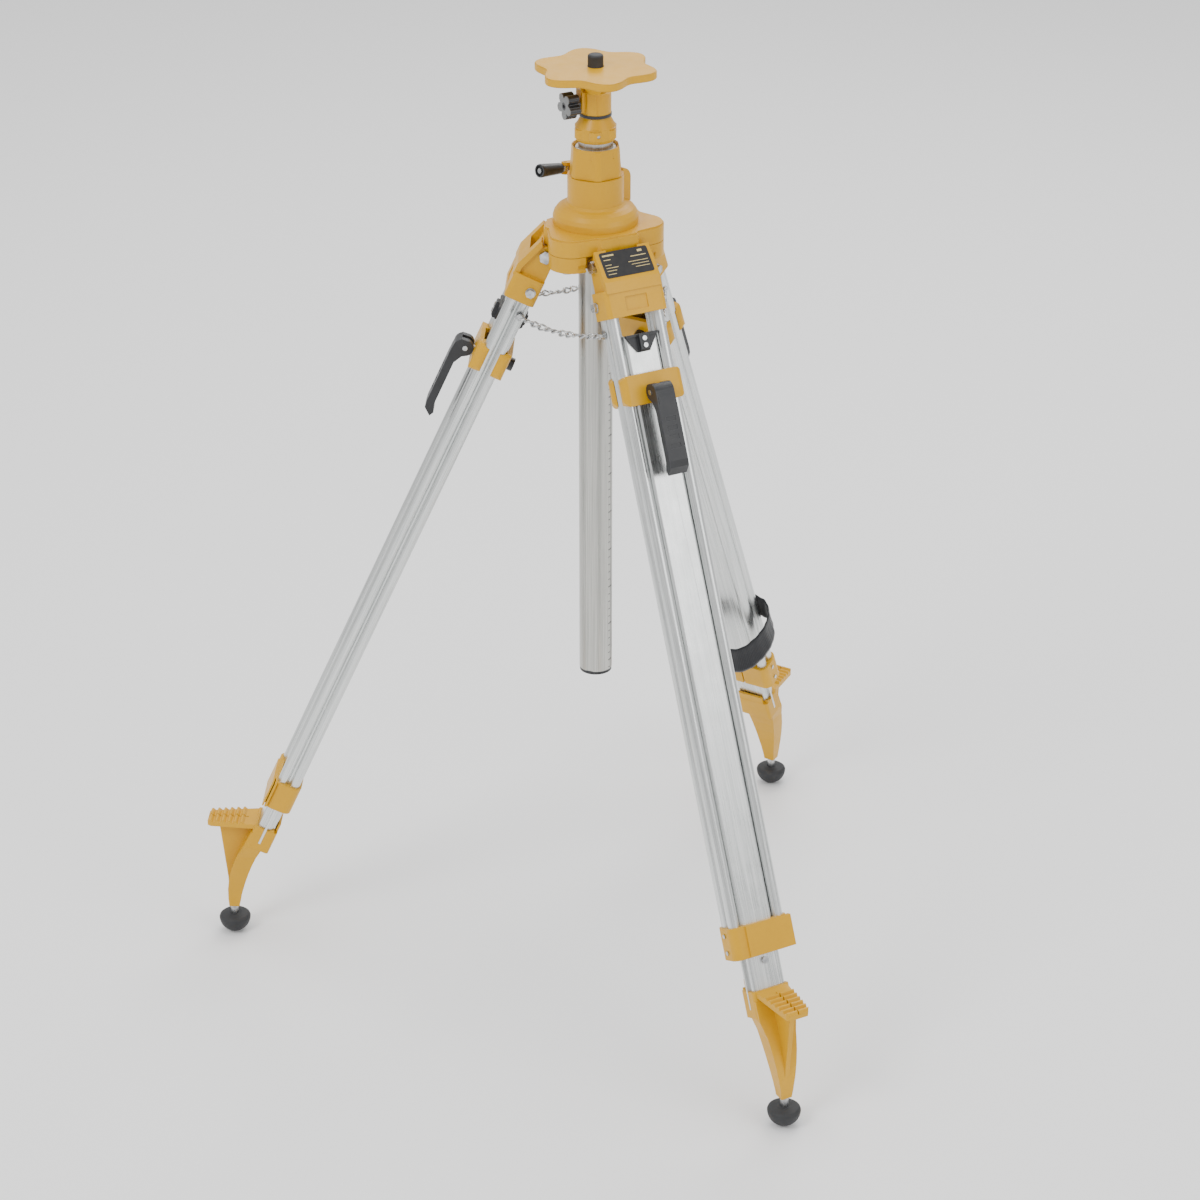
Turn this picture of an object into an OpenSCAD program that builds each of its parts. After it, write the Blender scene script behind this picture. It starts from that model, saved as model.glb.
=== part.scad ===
// Elevating surveyor tripod: three two-stage legs, a cast hub, and a rack and
// pinion centre column that carries a lobed instrument head.
// The origin is the centre of the instrument seat, the top face of the head
// plate. +Z is up. Every height below the seat is negative.
// Each leg is drawn in its own frame: the hinge pin is the origin, +X is the
// leg's outer face, +Y runs along the hinge pin and -Z runs down the leg.

/* [Stance] */
// Height of the instrument seat above the floor
seat_h = 1156; // [1120:1:1170]
// Angle between each standing leg and the vertical
splay = 24.5; // [23:0.5:26]
// Distance from the column's axis to each leg's hinge pin
hinge_r = 56; // [56:0.5:58]
// Depth of the hinge pins below the seat
hinge_drop = 217; // [216:0.5:218]

/* [Head] */
// Radius of the head plate at its lobe tips
plate_r = 71.5; // [60:0.5:75]
// Thickness of the head plate at its rim
plate_t = 9; // [7:0.5:11]
// Outer radius of the stem below the plate
stem_r = 18; // [17:0.5:20]
// Radius of the instrument thread, 5/8 inch
thread_r = 7.94; // [7.94:0.01:7.94]
// Height of the instrument thread above the seat
thread_h = 12; // [10:1:16]

/* [Column] */
// Outer radius of the column tube
column_r = 20; // [20:0.1:20]
// Depth of the column's lower end below the seat
column_end = 763; // [700:1:780]
// Pitch radius of the crank's pinion, fourteen teeth
pinion_r = 8.75; // [8.75:0.01:8.75]

/* [Hub] */
// Radius of the gear housing's body
housing_r = 32.6; // [32:0.1:34]
// Radius of the gear housing's foot flange
dome_r = 49.5; // [46:0.5:52]
// Distance from the axis to the hub's three flat sides
hub_flat = 59; // [58:0.5:60]
// Radius of the hub over its three rounded corners
hub_corner_r = 79; // [76:0.5:82]

/* [Legs] */
// Overall width of the pair of outer rails
rail_span = 72; // [72:0.1:72]
// Radius of each of a rail's two lobes
lobe_r = 7; // [7:0.1:7]
// Thickness of the sliding inner leg
inner_t = 22; // [20:0.5:22]
// Radius of the rubber foot
foot_r = 20; // [18:0.5:22]

/* [Hidden] */
$fn = 64;

yellow = "#f7b500";
alloy = "#c9cccb";
steel = "#9aa0a3";
black = "#26282a";

// Directions of the three legs around the column
left_az = 180;
front_az = 300;
rear_az = 60;
// Direction of the rack, of the crank's shaft and of the star knob
rack_az = 45;
shaft_az = 135;
knob_az = 211;

// Heights, from the seat down
plate_under = -plate_t;
stem_end = -53.5;
washer_t = 3.5;
spigot_r = 13;
spigot_top = -22;
column_head_end = -86;
ring_top = -92;
ring_end = -126.6;
housing_top = -127;
crank_z = -138;
dome_top = -162;
hub_top = -184;
hub_seam = -205;
hub_end = -223;

// Directions of the two hub corners that carry long bolts
bolt_az = [0, 240];

// Rack and pinion, module 1.25 with stub teeth
gear_m = 1.25;
pinion_n = 14;
rack_pitch = 3.14159 * gear_m;
tooth_add = 0.8 * gear_m;
tooth_ded = gear_m;
backlash = 0.12;
rack_line = column_r + 1.75;
pinion_at = rack_line + pinion_r;
rack_w = 8;
rack_screws = [-600, -440, -280];
lift = 460;

// Crank
crank_plane = 53;
arm_len = 30;
arm_t = 9;
arm_lift = 8;
grip_len = 40;

// Rails
lobe_gap = 7.5;
rail_y = rail_span / 2 - lobe_r;
rail_x = lobe_gap + lobe_r;
web_half = 2.6;

// Stations down each leg, measured from the hinge pin
leg_x = 6.3;
head_block_s = 30;
head_end_s = 62;
chain_s = 78;
inner_top_s = 84;
clamp_s = 129;
clamp_h = 35;
pivot_s = 152;
collar_s = 777;
collar_h = 38;
socket_s = 856;
inner_end_s = 878;
foot_inset = 16;
foot_s = (seat_h - foot_r - hinge_drop + leg_x * sin(splay)) / cos(splay);

// ---------------------------------------------------------------- helpers

module tube(r_out, r_in, low, high) {
    difference() {
        translate([0, 0, low]) cylinder(r = r_out, h = high - low);
        translate([0, 0, low - 1]) cylinder(r = r_in, h = high - low + 2);
    }
}

// Twice the signed area of a closed run of points
function turn(p, i = 0) = i == len(p) ? 0 :
    p[i][0] * p[(i + 1) % len(p)][1] - p[i][1] * p[(i + 1) % len(p)][0] + turn(p, i + 1);

// A polygon drawn counter-clockwise, whichever way its points are listed
module outline(p) {
    polygon(turn(p) > 0 ? p : [for (i = [len(p) - 1 : -1 : 0]) p[i]]);
}

module rod(r, low, high) {
    translate([0, 0, low]) cylinder(r = r, h = high - low);
}

// A horizontal cylinder along the local Y axis
module pin_y(r, from, to) {
    translate([0, from, 0]) rotate([-90, 0, 0]) cylinder(r = r, h = to - from);
}

// A horizontal cylinder along the local X axis
module pin_x(r, from, to) {
    translate([from, 0, 0]) rotate([0, 90, 0]) cylinder(r = r, h = to - from);
}

// A bar along Z whose cross-section is a rounded rectangle of exact arcs
module round_bar(w, d, r, low, high) {
    translate([0, 0, low]) linear_extrude(high - low) {
        square([w - 2 * r, d], center = true);
        square([w, d - 2 * r], center = true);
        for (x = [-1, 1], y = [-1, 1])
            translate([x * (w / 2 - r), y * (d / 2 - r)]) circle(r);
    }
}

module hex_head(r, h) {
    cylinder(r = r, h = h, $fn = 6);
}

// A hexagon socket cap screw: head up at the origin, shank down
module cap_screw(r, len) {
    difference() {
        union() {
            cylinder(r = 1.6 * r, h = 1.8 * r);
            rod(r, -len, 1);
        }
        translate([0, 0, 0.9 * r]) cylinder(r = 0.95 * r, h = 2 * r, $fn = 6);
    }
}

// The frame of the leg that stands in direction az
module on_leg(az) {
    rotate([0, 0, az]) translate([hinge_r, 0, -hinge_drop]) rotate([0, -splay, 0]) children();
}

// The upright frame at the leg's foot: origin at the centre of the rubber foot
module on_foot(az) {
    on_leg(az) translate([leg_x, 0, -foot_s]) rotate([0, splay, 0])
        translate([-foot_inset, 0, 0]) children();
}

// ---------------------------------------------------------------- head

// Outline of the head plate: a hexagon whose sides dip between six round tips
module plate_outline(r) {
    wave = r * 0.1;
    outline([for (a = [0 : 4 : 356])
        (r - wave + wave * cos(6 * (a - rack_az))) * [cos(a), sin(a)]]);
}

module head_plate() {
    flare = [[0, plate_under + 1], [45, plate_under + 1], [43.5, plate_under - 1.2], [37, -12.4], [29, -17.5],
             [24, -22], [stem_r + 2, -26], [stem_r, -29], [0, -29]];
    color(yellow) difference() {
        union() {
            translate([0, 0, plate_under + 1]) linear_extrude(plate_t - 2) plate_outline(plate_r);
            translate([0, 0, -1]) linear_extrude(1) plate_outline(plate_r - 0.9);
            translate([0, 0, plate_under]) linear_extrude(1.2) plate_outline(plate_r - 0.9);
            rotate_extrude() outline(flare);
            rod(stem_r, stem_end, -20);
            // Upright boss for the star knob's screw
            rotate([0, 0, knob_az]) translate([8, -7, -50]) cube([13.4, 14, 30]);
            rotate([0, 0, knob_az]) translate([0, 0, -41]) pin_x(6, 12, 22);
            // Narrow front rib down the stem
            rotate([0, 0, knob_az + 48]) translate([8, -5.5, stem_end + 0.6]) cube([stem_r - 7.4, 11, 30]);
        }
        // Casting pockets between the ribs under the plate
        for (a = [0 : 60 : 300]) rotate([0, 0, a + rack_az + 12])
            translate([19.4, -3.4, -27]) rotate([0, -40, 0]) cube([26, 6.8, 7]);
        rod(spigot_r + 0.05, stem_end - 1, -20);
        rod(thread_r, -21, 1);
        // Shallow seat for the thread cap
        rod(thread_r + 1.5, -0.8, 1);
        rotate([0, 0, knob_az]) translate([0, 0, -41]) pin_x(4, 10, 30);
    }
}

module head_washer() {
    color(black) tube(stem_r + 0.6, spigot_r + 0.05, stem_end - washer_t, stem_end);
}

module instrument_stud() {
    turns = 4;
    thread_pitch = 25.4 / 11;
    color(steel) {
        rod(thread_r - 1, -19, thread_h);
        rod(thread_r, -19, 0.5);
        for (i = [0 : turns - 1]) translate([0, 0, 1 + i * thread_pitch]) {
            cylinder(r1 = thread_r - 1, r2 = thread_r - 0.1, h = 1);
            translate([0, 0, 1]) cylinder(r1 = thread_r - 0.1, r2 = thread_r - 1, h = 1);
        }
    }
}

module thread_cap() {
    wall = 1;
    rim = 2.2;
    top = thread_h + 2;
    profile = [[thread_r + 0.05, -0.8], [thread_r + wall, -0.8], [thread_r + wall, top - rim],
               [thread_r + wall - 0.6, top - 0.8], [thread_r + wall - rim, top], [0, top],
               [0, thread_h + 0.3], [thread_r + 0.05, thread_h + 0.3]];
    color(black) rotate_extrude() outline(profile);
}

module on_knob() {
    rotate([0, 0, knob_az]) translate([0, 0, -41]) rotate([0, 90, 0]) children();
}

module star_knob() {
    lobes = 5;
    face = 41;
    color(black) on_knob() difference() {
        union() {
            translate([0, 0, 27]) linear_extrude(face - 27) {
                circle(9.5);
                for (i = [0 : lobes - 1]) rotate(i * 360 / lobes) {
                    translate([11.4, 0]) circle(4.4);
                    translate([9, 0]) square([7, 10.5], center = true);
                }
            }
            rod(6.5, 22.5, 28);
        }
        rod(4, 21, face - 3);
        rod(2.2, face - 4, face + 1);
    }
}

module star_screw() {
    color(steel) on_knob() {
        rod(3.95, spigot_r + 0.15, 22);
        rod(4, 22, 38);
    }
}

// ---------------------------------------------------------------- column

module column_head() {
    top = stem_end - washer_t;
    lobes = 6;
    skin = [[0, top], [16.8, top], [17.2, top - 1], [23.2, -69], [23.4, -82], [21.4, column_head_end],
            [0, column_head_end]];
    color(yellow) difference() {
        union() {
            rotate_extrude() outline(skin);
            rod(spigot_r, top - 1, spigot_top);
            for (i = [0 : lobes - 1]) rotate([0, 0, i * 360 / lobes + knob_az]) {
                translate([17.6, 0, -81]) cylinder(r = 8.6, h = 10.4);
                translate([17.2, 0, -83.4]) cylinder(r = 7.4, h = 14.6);
                translate([16.6, 0, -84.8]) cylinder(r = 6, h = 2);
            }
        }
        // Neck that the star knob's screw bites into
        translate([0, 0, -41]) rotate_extrude()
            outline([[spigot_r - 1.4, -3], [spigot_r - 1.4, 3], [spigot_r + 2, 6], [spigot_r + 2, -6]]);
        rod(column_r, column_head_end - 1, -67);
        rod(6, -68, spigot_top + 1);
        rotate([0, 0, 100]) translate([0, 0, -76]) pin_x(2, -30, 30);
    }
}

module column_section() {
    difference() {
        union() {
            difference() {
                circle(column_r);
                circle(column_r - 3);
            }
            rotate(rack_az) translate([column_r - 5.7, 0]) square([7.4, 14], center = true);
        }
        // Seat for the rack
        rotate(rack_az) translate([column_r + 1, 0]) square([9, rack_w], center = true);
        // Shallow guide groove, and two fine decorative grooves
        rotate(248.5) translate([column_r + 0.1, 0]) square([2.2, 9.6], center = true);
        for (a = [150, 335]) rotate(a) translate([column_r, 0]) square([1, 1.6], center = true);
    }
}

module column_tube() {
    color(alloy) difference() {
        translate([0, 0, -column_end]) linear_extrude(column_end - 67) column_section();
        rotate([0, 0, 100]) translate([0, 0, -76]) pin_x(2, -30, 30);
        // Holes for the rack's screws
        rotate([0, 0, rack_az]) for (z = rack_screws) translate([0, 0, z]) pin_x(1.65, 6, 14.25);
    }
}

module gear_rack() {
    root = rack_line - tooth_ded;
    tip = rack_line + tooth_add;
    half_root = (rack_pitch / 4 + tooth_ded * tan(20) - backlash / 2);
    half_tip = (rack_pitch / 4 - tooth_add * tan(20) - backlash / 2);
    first = -ceil(lift / rack_pitch) - 3;
    last = 2;
    low = crank_z + first * rack_pitch - 1;
    high = crank_z + (last + 1) * rack_pitch + 1;
    color(steel) rotate([0, 0, rack_az]) rotate([90, 0, 0])
        translate([0, 0, -rack_w / 2]) linear_extrude(rack_w) {
            translate([column_r - 3.5, low]) square([root - column_r + 3.5, high - low]);
            for (i = [first : last]) translate([root, crank_z + (i + 0.5) * rack_pitch])
                outline([[-0.2, -half_root], [tip - root, -half_tip],
                         [tip - root, half_tip], [-0.2, half_root]]);
        }
}

module column_pins() {
    color(steel) {
        rotate([0, 0, 100]) translate([0, 0, -76]) for (side = [0, 180]) rotate([0, 0, side])
            pin_x(2, 16, 24);
        rotate([0, 0, rack_az]) for (z = rack_screws) translate([0, 0, z])
            pin_x(1.6, 10.6, 14.2);
    }
}

module column_end_plug() {
    color(black) translate([0, 0, -column_end - 4]) {
        cylinder(r = column_r - 0.5, h = 4);
        intersection() {
            cylinder(r = column_r - 3, h = 16);
            rotate([0, 0, rack_az]) translate([-30, -30, 0]) cube([30 + column_r - 9.5, 60, 20]);
        }
    }
}

// ---------------------------------------------------------------- hub

module rack_slot(low, high) {
    rotate([0, 0, rack_az]) translate([0, -rack_w / 2 - 0.4, low])
        cube([rack_line + tooth_add + 0.5, rack_w + 0.8, high - low]);
}

module column_lock_ring() {
    flats = 6;
    tall = ring_top - ring_end;
    color(yellow) difference() {
        intersection() {
            rotate([0, 0, 37]) translate([0, 0, ring_end]) cylinder(r1 = 33.2, r2 = 30.6, h = tall, $fn = flats);
            union() {
                translate([0, 0, ring_end]) cylinder(r1 = 31.4, r2 = 29, h = tall - 1.4);
                translate([0, 0, ring_top - 1.4]) cylinder(r1 = 28.9, r2 = 27.6, h = 1.4);
            }
        }
        // Short flutes down from the top edge
        for (i = [0 : flats - 1]) rotate([0, 0, i * 360 / flats + 19.5])
            translate([29.6, 0, ring_top - 11]) cylinder(r = 2.4, h = 20);
        rod(24.6, ring_end - 1, ring_top + 1);
        rod(27.15, ring_end - 1, -109);
        translate([0, 0, ring_top - 2.5]) cylinder(r1 = 24.5, r2 = 26.4, h = 2.6);
    }
}

module column_collet() {
    fingers = 6;
    color("#e8e8e4") difference() {
        union() {
            tube(24.2, column_r + 0.05, -152, -97);
            tube(23.4, column_r + 0.05, -98, -94.5);
        }
        rack_slot(-160, -90);
        for (i = [0 : fingers - 1]) rotate([0, 0, i * 360 / fingers + rack_az + 30])
            translate([10, -1, -124]) cube([20, 2, 40]);
        on_shaft() rod(11, -12, 12);
    }
}

// The crank shaft's frame: origin on the shaft beside the column, +Z outwards
module on_shaft() {
    rotate([0, 0, rack_az]) translate([pinion_at, 0, crank_z]) rotate([-90, 0, 0]) children();
}

module gear_housing() {
    lobe_w = 26;
    dome = [[0, hub_top], [dome_r, hub_top], [dome_r, hub_top + 8], [dome_r - 1.6, hub_top + 13],
            [dome_r - 5, hub_top + 17.5], [dome_r - 10, hub_top + 20.5], [housing_r + 3, hub_top + 22],
            [housing_r, hub_top + 24.5], [0, hub_top + 24.5]];
    color(yellow) difference() {
        union() {
            rotate_extrude() outline(dome);
            rod(housing_r, dome_top - 2, housing_top);
            rod(27, housing_top - 1, -110);
            // Gear case around the pinion, and the shaft's outboard boss
            on_shaft() rod(13, -lobe_w / 2, 43);
            rotate([0, 0, rack_az]) translate([0, -lobe_w / 2, dome_top - 4])
                cube([pinion_at + 13, lobe_w, crank_z - dome_top + 4]);
        }
        // Room for the lock ring above the housing's shoulder
        difference() {
            rod(33, housing_top, -90);
            rod(27, housing_top - 1, -110);
        }
        rod(24.2, -152, -100);
        rod(26, hub_top - 1, -152);
        on_shaft() rod(10.6, -10.5, 10.5);
        on_shaft() rod(6, 0, 50);
        on_shaft() rod(6, -11.5, 0);
        // Mouth where the pinion meets the rack
        rotate([0, 0, rack_az]) translate([15, -10.5, crank_z - 10.6]) cube([15, 21, 17]);
        rack_slot(-200, -100);
        for (a = [0, 120, 240]) rotate([0, 0, a]) translate([42, 0, hub_top - 1]) cylinder(r = 2.5, h = 13);
    }
}

module column_bush() {
    color("#e8e8e4") difference() {
        union() {
            tube(25, column_r + 0.05, hub_end - 3, -190);
            tube(28, column_r + 0.05, hub_end - 3, hub_end);
        }
        rack_slot(hub_end - 10, -180);
    }
}

module crank_bushes() {
    color("#b08d57") on_shaft() {
        tube(6, 5.05, 28, 43.6);
        tube(6, 5.05, 10.5, 16);
        tube(6, 4.05, -11.5, -10.5);
    }
}

// Involute flank: the angle that the tooth's flank has turned through at radius r
function inv_at(base, r) = let (t = sqrt(max(0, (r / base) * (r / base) - 1))) t * 57.2958 - atan(t);

module pinion_profile() {
    base = pinion_r * cos(20);
    root = pinion_r - tooth_ded;
    tip = pinion_r + tooth_add;
    half = 90 / pinion_n - backlash * 57.2958 / (2 * pinion_r) + inv_at(base, pinion_r);
    steps = 5;
    radii = [for (i = [0 : steps]) base + (tip - base) * i / steps];
    circle(root);
    for (k = [0 : pinion_n - 1]) rotate(k * 360 / pinion_n) outline(concat(
        [[root - 0.5, -root * sin(half)]],
        [for (r = radii) r * [cos(half - inv_at(base, r)), -sin(half - inv_at(base, r))]],
        [for (i = [steps : -1 : 0]) radii[i] * [cos(half - inv_at(base, radii[i])), sin(half - inv_at(base, radii[i]))]],
        [[root - 0.5, root * sin(half)]]));
}

module pinion_shaft() {
    color(steel) on_shaft() {
        translate([0, 0, -8.5]) linear_extrude(17) pinion_profile();
        rod(4, -11.5, -8);
        rod(5, 8, crank_plane - arm_t / 2);
        rod(4, crank_plane - arm_t / 2, crank_plane + arm_t / 2);
        translate([0, 0, crank_plane + arm_t / 2]) cylinder(r = 6.5, h = 1.2);
        translate([0, 0, crank_plane + arm_t / 2 + 1.2]) hex_head(5.5, 3.5);
    }
}

// The crank's own frame: +X points along the arm, +Z outwards along the shaft
module on_crank() {
    on_shaft() translate([0, 0, crank_plane]) rotate([0, 0, 180 + arm_lift]) children();
}

module crank_arm() {
    ear = 7;
    color(yellow) on_crank() difference() {
        union() {
            hull() {
                translate([0, 0, -arm_t / 2]) cylinder(r = 9, h = arm_t, $fn = 32);
                translate([arm_len - 12, 0, -arm_t / 2]) cylinder(r = 7, h = arm_t, $fn = 32);
            }
            // Fork that carries the folding grip
            translate([arm_len - 12, -ear, -arm_t / 2]) cube([12, 2 * ear, arm_t]);
            translate([arm_len, 0, 0]) pin_y(arm_t / 2, -ear, ear);
        }
        translate([0, 0, -10]) cylinder(r = 4, h = 20);
        translate([arm_len - 6.2, -3.3, -10]) cube([20, 6.6, 20]);
        translate([arm_len, 0, 0]) pin_y(2, -20, 20);
    }
}

module grip_spindle() {
    color(steel) on_crank() translate([arm_len, 0, 0]) {
        difference() {
            union() {
                pin_y(4.3, -3, 3);
                pin_x(3, 2, grip_len);
            }
            pin_y(2.05, -10, 10);
        }
    }
}

module crank_grip() {
    start = 6.5;
    skin = [[3.05, start], [6, start], [6.4, start + 1.5], [8, grip_len - 2], [7.6, grip_len],
            [6.2, grip_len], [5.8, grip_len - 3], [3.05, grip_len - 3]];
    color(black) on_crank() translate([arm_len, 0, 0]) rotate([0, 90, 0]) difference() {
        rotate_extrude() outline(skin);
        for (i = [0 : 11]) rotate([0, 0, 30 * i]) translate([8.1, 0, start + 4])
            rotate([0, 2.6, 0]) translate([-0.5, 0, 0]) cylinder(r = 0.7, h = grip_len - 15, $fn = 8);
    }
}

module hub_shape(low, high, trim) {
    corner = 26 - trim;
    reach = hub_corner_r - 26;
    side = hub_flat - trim;
    translate([0, 0, low]) linear_extrude(high - low) difference() {
        union() {
            for (a = [0, 120, 240]) rotate(a) {
                translate([reach, 0]) circle(corner);
                // Web from the middle to the corner, as wide as the corner allows
                outline([[0, -side], [reach * 0.2, -side * 1.08], [reach + corner * cos(62), -corner * sin(62)],
                         [reach + corner * cos(62), corner * sin(62)], [reach * 0.2, side * 1.08], [0, side]]);
            }
        }
        for (a = [60, 180, 300]) rotate(a) translate([side, -100]) square([100, 200]);
    }
}

// Flat on the crank's side of the hub, so that the folded crank swings clear
module crank_scallop() {
    rotate([0, 0, shaft_az]) translate([crank_plane - arm_t / 2 - 6.5, -130, -213]) cube([100, 260, 60]);
}

module hub_upper_casting() {
    color(yellow) difference() {
        union() {
            hub_shape(hub_seam, hub_seam + 0.8, 0.9);
            hub_shape(hub_seam + 0.7, hub_top - 2, 0);
            hub_shape(hub_top - 2.1, hub_top, 1.6);
        }
        crank_scallop();
        rod(25, hub_seam - 1, -189.9);
        rod(25.6, -190, hub_top + 1);
        for (a = [0, 120, 240]) rotate([0, 0, a]) {
            translate([42, 0, hub_seam - 1]) cylinder(r = 2.5, h = 30);
            translate([42, 0, hub_seam - 1]) cylinder(r = 4.6, h = 6);
        }
        for (a = bolt_az) rotate([0, 0, a]) translate([62, 0, hub_seam - 1]) cylinder(r = 4, h = 13);
    }
}

module hub_lower_casting() {
    lug = 20;
    ear_r = 11.5;
    color(yellow) difference() {
        union() {
            difference() {
                hub_shape(hub_end, hub_seam, 0);
                for (a = [left_az, front_az, rear_az]) rotate([0, 0, a])
                    translate([41.5, -40.5, hub_end - 1]) cube([60, 81, 30]);
            }
            for (a = [left_az, front_az, rear_az]) rotate([0, 0, a]) {
                translate([hinge_r, 0, -hinge_drop]) pin_y(ear_r - 0.3, -lug, lug);
                translate([38, -lug, hub_end]) cube([hinge_r - 38, 2 * lug, hub_seam - hub_end]);
                translate([hinge_r - 1, -lug, hub_end]) cube([8, 2 * lug, hub_seam - hub_end - 1]);
            }
        }
        for (a = [left_az, front_az, rear_az]) rotate([0, 0, a])
            translate([hinge_r, 0, -hinge_drop]) pin_y(5.05, -50, 50);
        rod(25, hub_end - 20, hub_seam + 1);
        // Relief for the tip of the turning crank
        on_shaft() rod(72.5, crank_plane - 9.5, crank_plane + 60);
        for (a = bolt_az) rotate([0, 0, a]) {
            translate([62, 0, hub_end - 1]) cylinder(r = 4, h = 30);
            translate([62, 0, hub_end - 1]) cylinder(r = 6.5, h = 3);
        }
    }
}

module hub_bolts() {
    color(steel) {
        for (a = bolt_az) rotate([0, 0, a])
            translate([62, 0, hub_end + 2]) rotate([180, 0, 0]) cap_screw(4, 26);
        for (a = [0, 120, 240]) rotate([0, 0, a]) translate([42, 0, hub_seam + 5]) rotate([180, 0, 0]) {
            rod(2.5, -27, 0);
            rod(4.5, 0, 4.5);
        }
    }
}

// ---------------------------------------------------------------- legs

module rail_section() {
    difference() {
        union() {
            for (x = [-1, 1]) translate([x * lobe_gap, 0]) circle(lobe_r);
            square([2 * lobe_gap, 2 * web_half], center = true);
        }
        for (x = [-1, 1]) translate([x * lobe_gap, 0]) circle(lobe_r - 1.4);
    }
}

module leg_rails(az) {
    color(alloy) on_leg(az) translate([leg_x, 0, 0]) for (y = [-1, 1])
        translate([0, y * rail_y, -collar_s - collar_h + 6])
            linear_extrude(collar_s + collar_h - 6 - head_block_s - 4) rail_section();
}

// Room that the two rails take, for the castings that hold them
module rail_room(low, high) {
    for (y = [-1, 1]) translate([leg_x, y * rail_y, low]) linear_extrude(high - low) {
        for (x = [-1, 1]) translate([x * lobe_gap, 0]) circle(lobe_r);
        square([2 * lobe_gap, 2 * web_half], center = true);
    }
}

module leg_head(az) {
    width = rail_span + 5;
    ear_in = 20.4;
    ear_out = 32;
    front = 25;
    back = leg_x - rail_x - 3;
    color(yellow) on_leg(az) difference() {
        union() {
            // Two ears and the cheeks that run down from them
            for (s = [-1, 1]) {
                translate([0, s * (ear_in + ear_out) / 2, 0]) rotate([90, 0, 0])
                    translate([0, 0, -(ear_out - ear_in) / 2]) linear_extrude(ear_out - ear_in) {
                        circle(11.3);
                        outline([[-11, -2], [0, 0], [9, 10], [front, -25], [front - 1, -head_end_s],
                                 [back, -head_end_s], [back, -head_block_s]]);
                    }
            }
            // Sloping face plate over the ears
            rotate([90, 0, 0]) translate([0, 0, -width / 2 + 3]) linear_extrude(width - 6)
                outline([[10.9, 15], [13.2, 16.2], [front + 1.6, -21], [front + 1.6, -34],
                         [front - 5, -34], [front - 5, -23], [8.3, 9.5]]);
            // Block that holds the rails
            translate([(front + back) / 2, 0, 0])
                round_bar(front - back + 1.2, width, 6, -head_end_s, -head_block_s);
        }
        // Hollow between the cheeks, open towards the column
        translate([back - 10, -ear_in, -head_block_s - 8]) cube([front - back + 5, 2 * ear_in, 60]);
        translate([back - 10, -ear_in, -head_end_s - 1]) cube([front - back + 5, 2 * ear_in, 26]);
        rail_room(-head_end_s - 1, -head_block_s - 4);
        pin_y(5, -60, 60);
        // Shallow casting recess on the face
        translate([front - 0.6, -14, -56]) cube([5, 28, 16]);
        // Cross holes for the rail bolts
        translate([leg_x - lobe_gap, 0, -46]) pin_y(3, -60, 60);
    }
}

module leg_bolts(az) {
    side = rail_span / 2;
    color(steel) on_leg(az) {
        // Hinge bolt with its head and nut
        pin_y(5, -34, 34);
        for (s = [-1, 1]) translate([0, s * 32, 0]) rotate([-90 * s, 0, 0]) hex_head(8, 5.5);
        for (s = [-1, 1]) scale([1, s, 1]) {
            // Rail bolts, through the head's side walls
            translate([leg_x - lobe_gap, side + 2.5, -46]) rotate([-90, 0, 0]) {
                cylinder(r = 6, h = 1.2);
                translate([0, 0, 1.2]) hex_head(5.5, 4);
            }
            translate([leg_x - lobe_gap, 0, -46]) pin_y(3, side + 0.05, side + 3);
            // Chain bolts
            translate([leg_x - lobe_gap, 0, -chain_s]) {
                pin_y(5.5, side, side + 1);
                pin_y(2, side + 1, side + 6);
                pin_y(4, side + 6, side + 8);
            }
        }
        // Two small screws in the collar's edge
        for (z = [9, 29]) translate([leg_x, 0, -collar_s - z]) pin_y(2.6, -side - 4.5, -side - 3.02);
    }
}

module leg_collar(az) {
    w = 2 * rail_x + 6;
    d = rail_span + 6;
    low = -collar_s - collar_h;
    color(yellow) on_leg(az) difference() {
        union() {
            translate([leg_x, 0, 0]) round_bar(w, d, 10, low, -collar_s);
            // Raised cover plate on the outer face, folded over one side
            translate([leg_x + w / 2 - 4, -20, low + 0.6]) cube([6.2, d / 2 + 21.5, collar_h - 1.2]);
        }
        rail_room(low + 6, -collar_s + 1);
        // Passage for the inner leg
        translate([leg_x, 0, 0]) round_bar(inner_t + 0.8, 2 * rail_y - 2 * lobe_r + 0.4, 4, low - 1, -collar_s + 1);
        translate([leg_x, 0, low - 1]) linear_extrude(collar_h + 2) square([4, 2 * rail_y - 7], center = true);
        // Gap behind the cover plate, and the clamp slit in the back
        translate([leg_x + w / 2 - 1.2, d / 2 - 9, low - 1]) cube([1.4, 20, collar_h + 2]);
        translate([leg_x - w / 2 - 1, -1, low - 1]) cube([6, 2, collar_h + 2]);
    }
}

// Outline of the inner leg: a flat bar with a guide fin on each edge
module inner_outline() {
    w = inner_t;
    d = 2 * (rail_y - lobe_r) - 0.8;
    square([w - 8, d], center = true);
    square([w, d - 8], center = true);
    for (x = [-1, 1], y = [-1, 1]) translate([x * (w / 2 - 4), y * (d / 2 - 4)]) circle(4);
    square([3, 2 * (rail_y - 4.2)], center = true);
}

module inner_section() {
    w = inner_t;
    d = 2 * (rail_y - lobe_r) - 0.8;
    difference() {
        inner_outline();
        for (y = [-1, 1]) translate([0, y * (d / 4 + 0.6)]) square([w - 4, d / 2 - 5], center = true);
    }
}

module inner_leg(az) {
    color(alloy) on_leg(az) translate([leg_x, 0, 0]) difference() {
        translate([0, 0, -inner_end_s]) linear_extrude(inner_end_s - inner_top_s) inner_section();
        translate([0, 0, -pivot_s]) pin_x(4.05, -30, 30);
    }
}

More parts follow.
